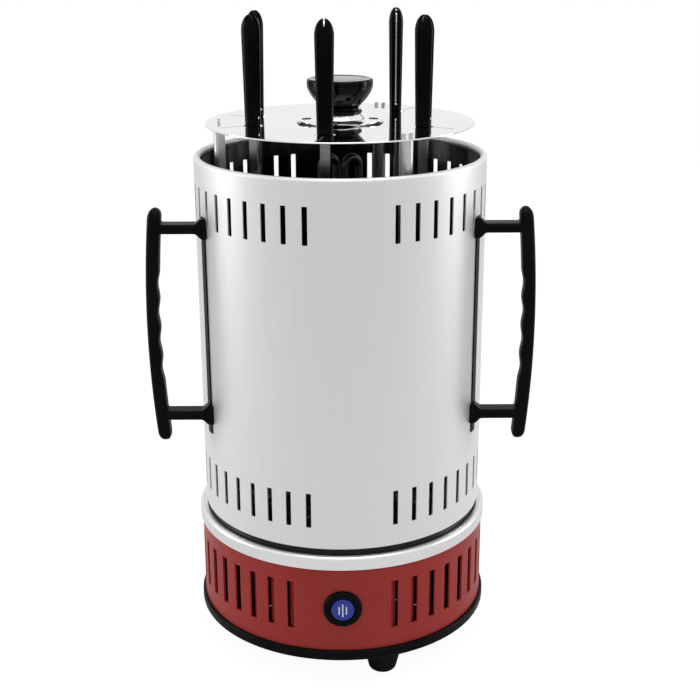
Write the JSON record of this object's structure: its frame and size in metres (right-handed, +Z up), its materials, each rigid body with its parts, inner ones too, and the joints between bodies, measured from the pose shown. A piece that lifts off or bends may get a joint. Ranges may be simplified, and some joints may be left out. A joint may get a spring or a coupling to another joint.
{
  "type": "vertical electric skewer grill",
  "caption": "Upright electric grill: louvred base with a geared drive, lift-off slotted steel drum with side handles, central heater and a lift-out rack of turning skewers.",
  "frame": {"origin": "on the table, at the middle of the grill's footprint and under the drum's axis", "axes": "+Z up, the button towards -Y, +X to the right as seen from the front"},
  "size_m": [0.2762, 0.224, 0.4677],
  "materials": {
    "red_plastic": "satin",
    "black_plastic": "satin",
    "handle_black": "glossy",
    "foot_rubber": "matt",
    "drum_steel": "brushed",
    "trim_steel": "brushed",
    "mirror_steel": "polished",
    "sheet_steel": "satin",
    "screw_steel": "satin",
    "deck_black": "satin",
    "heater_metal": "oxidised",
    "ceramic": "matt",
    "bearing_brass": "satin",
    "gear_metal": "satin",
    "cup_metal": "satin",
    "motor_case": "satin",
    "white_plastic": "satin",
    "button_blue": "glossy"
  },
  "bodies": {
    "base": {"base_pan": "black_plastic", "feet": "foot_rubber", "foot_screws": "screw_steel", "base_housing": "red_plastic", "housing_screws": "screw_steel", "trim_ring": "trim_steel", "deck_plate": "deck_black", "deck_screws": "screw_steel", "gear_plate": "sheet_steel", "gear_plate_screws": "screw_steel", "gear_axles": "screw_steel", "sun_bearing": "bearing_brass", "heater_base": "ceramic", "heater_element": "heater_metal", "heater_terminals": "ceramic", "drive_motor": "motor_case", "motor_screws": "screw_steel", "terminal_block": "white_plastic", "switch_body": "black_plastic", "switch_bezel": "black_plastic", "cord_gland": "foot_rubber"},
    "button": {"button_cap": "button_blue"},
    "sun": {"sun_gear": "gear_metal"},
    "pinion": {"motor_pinion": "gear_metal"},
    "planet_1": {"planet_gear_1": "gear_metal", "grease_cup_1": "cup_metal"},
    "planet_2": {"planet_gear_2": "gear_metal", "grease_cup_2": "cup_metal"},
    "planet_3": {"planet_gear_3": "gear_metal", "grease_cup_3": "cup_metal"},
    "planet_4": {"planet_gear_4": "gear_metal", "grease_cup_4": "cup_metal"},
    "planet_5": {"planet_gear_5": "gear_metal", "grease_cup_5": "cup_metal"},
    "planet_6": {"planet_gear_6": "gear_metal", "grease_cup_6": "cup_metal"},
    "skewer_1": {"skewer_blade_1": "sheet_steel", "skewer_handle_1": "handle_black"},
    "skewer_2": {"skewer_blade_2": "sheet_steel", "skewer_handle_2": "handle_black"},
    "skewer_3": {"skewer_blade_3": "sheet_steel", "skewer_handle_3": "handle_black"},
    "skewer_4": {"skewer_blade_4": "sheet_steel", "skewer_handle_4": "handle_black"},
    "skewer_5": {"skewer_blade_5": "sheet_steel", "skewer_handle_5": "handle_black"},
    "drum": {"drum_shell": "drum_steel", "handle_left": "black_plastic", "handle_right": "black_plastic", "handle_plates": "sheet_steel", "handle_screws": "screw_steel"},
    "rack": {"rack_plate": "mirror_steel", "rack_posts": "sheet_steel", "rack_knob": "handle_black", "knob_flange": "mirror_steel", "knob_screw": "screw_steel"}
  },
  "joints": [
    {"name": "drum_lift", "type": "slide", "parent": "base", "child": "drum", "axis": [0, 0, 1], "range_m": [0, 0.3]},
    {"name": "rack_lift", "type": "slide", "parent": "base", "child": "rack", "axis": [0, 0, 1], "range_m": [0, 0.3]},
    {"name": "button_press", "type": "slide", "parent": "base", "child": "button", "axis": [0, 1, 0], "range_m": [0, 0.003], "stiffness_N_per_m": 400, "springref_m": -0.002},
    {"name": "sun_spin", "type": "hinge", "parent": "base", "child": "sun", "pos_m": [0, 0, 0], "axis": [0, 0, 1], "continuous": true},
    {"name": "pinion_spin", "type": "hinge", "parent": "base", "child": "pinion", "pos_m": [0.05439, 0.01107, 0], "axis": [0, 0, 1], "continuous": true},
    {"name": "planet_1_spin", "type": "hinge", "parent": "base", "child": "planet_1", "pos_m": [-0.06061, 0.02206, 0], "axis": [0, 0, 1], "continuous": true},
    {"name": "planet_2_spin", "type": "hinge", "parent": "base", "child": "planet_2", "pos_m": [-0.06061, -0.02206, 0], "axis": [0, 0, 1], "continuous": true},
    {"name": "planet_3_spin", "type": "hinge", "parent": "base", "child": "planet_3", "pos_m": [-0.01009, -0.06371, 0], "axis": [0, 0, 1], "continuous": true},
    {"name": "planet_4_spin", "type": "hinge", "parent": "base", "child": "planet_4", "pos_m": [0.05747, -0.02928, 0], "axis": [0, 0, 1], "continuous": true},
    {"name": "planet_5_spin", "type": "hinge", "parent": "base", "child": "planet_5", "pos_m": [0.04146, 0.04941, 0], "axis": [0, 0, 1], "continuous": true},
    {"name": "planet_6_spin", "type": "hinge", "parent": "base", "child": "planet_6", "pos_m": [-0.0112, 0.06352, 0], "axis": [0, 0, 1], "continuous": true},
    {"name": "skewer_1_lift", "type": "slide", "parent": "planet_1", "child": "skewer_1", "axis": [0, 0, 1], "range_m": [0, 0.3]},
    {"name": "skewer_2_lift", "type": "slide", "parent": "planet_2", "child": "skewer_2", "axis": [0, 0, 1], "range_m": [0, 0.3]},
    {"name": "skewer_3_lift", "type": "slide", "parent": "planet_3", "child": "skewer_3", "axis": [0, 0, 1], "range_m": [0, 0.3]},
    {"name": "skewer_4_lift", "type": "slide", "parent": "planet_4", "child": "skewer_4", "axis": [0, 0, 1], "range_m": [0, 0.3]},
    {"name": "skewer_5_lift", "type": "slide", "parent": "planet_5", "child": "skewer_5", "axis": [0, 0, 1], "range_m": [0, 0.3]}
  ],
  "couplings": [
    {"joint": "sun_spin", "follows": "pinion_spin", "ratio": -0.19355},
    {"joint": "planet_1_spin", "follows": "pinion_spin", "ratio": 0.5},
    {"joint": "planet_2_spin", "follows": "pinion_spin", "ratio": 0.5},
    {"joint": "planet_3_spin", "follows": "pinion_spin", "ratio": 0.5},
    {"joint": "planet_4_spin", "follows": "pinion_spin", "ratio": 0.5},
    {"joint": "planet_5_spin", "follows": "pinion_spin", "ratio": 0.5},
    {"joint": "planet_6_spin", "follows": "pinion_spin", "ratio": 0.5}
  ]
}
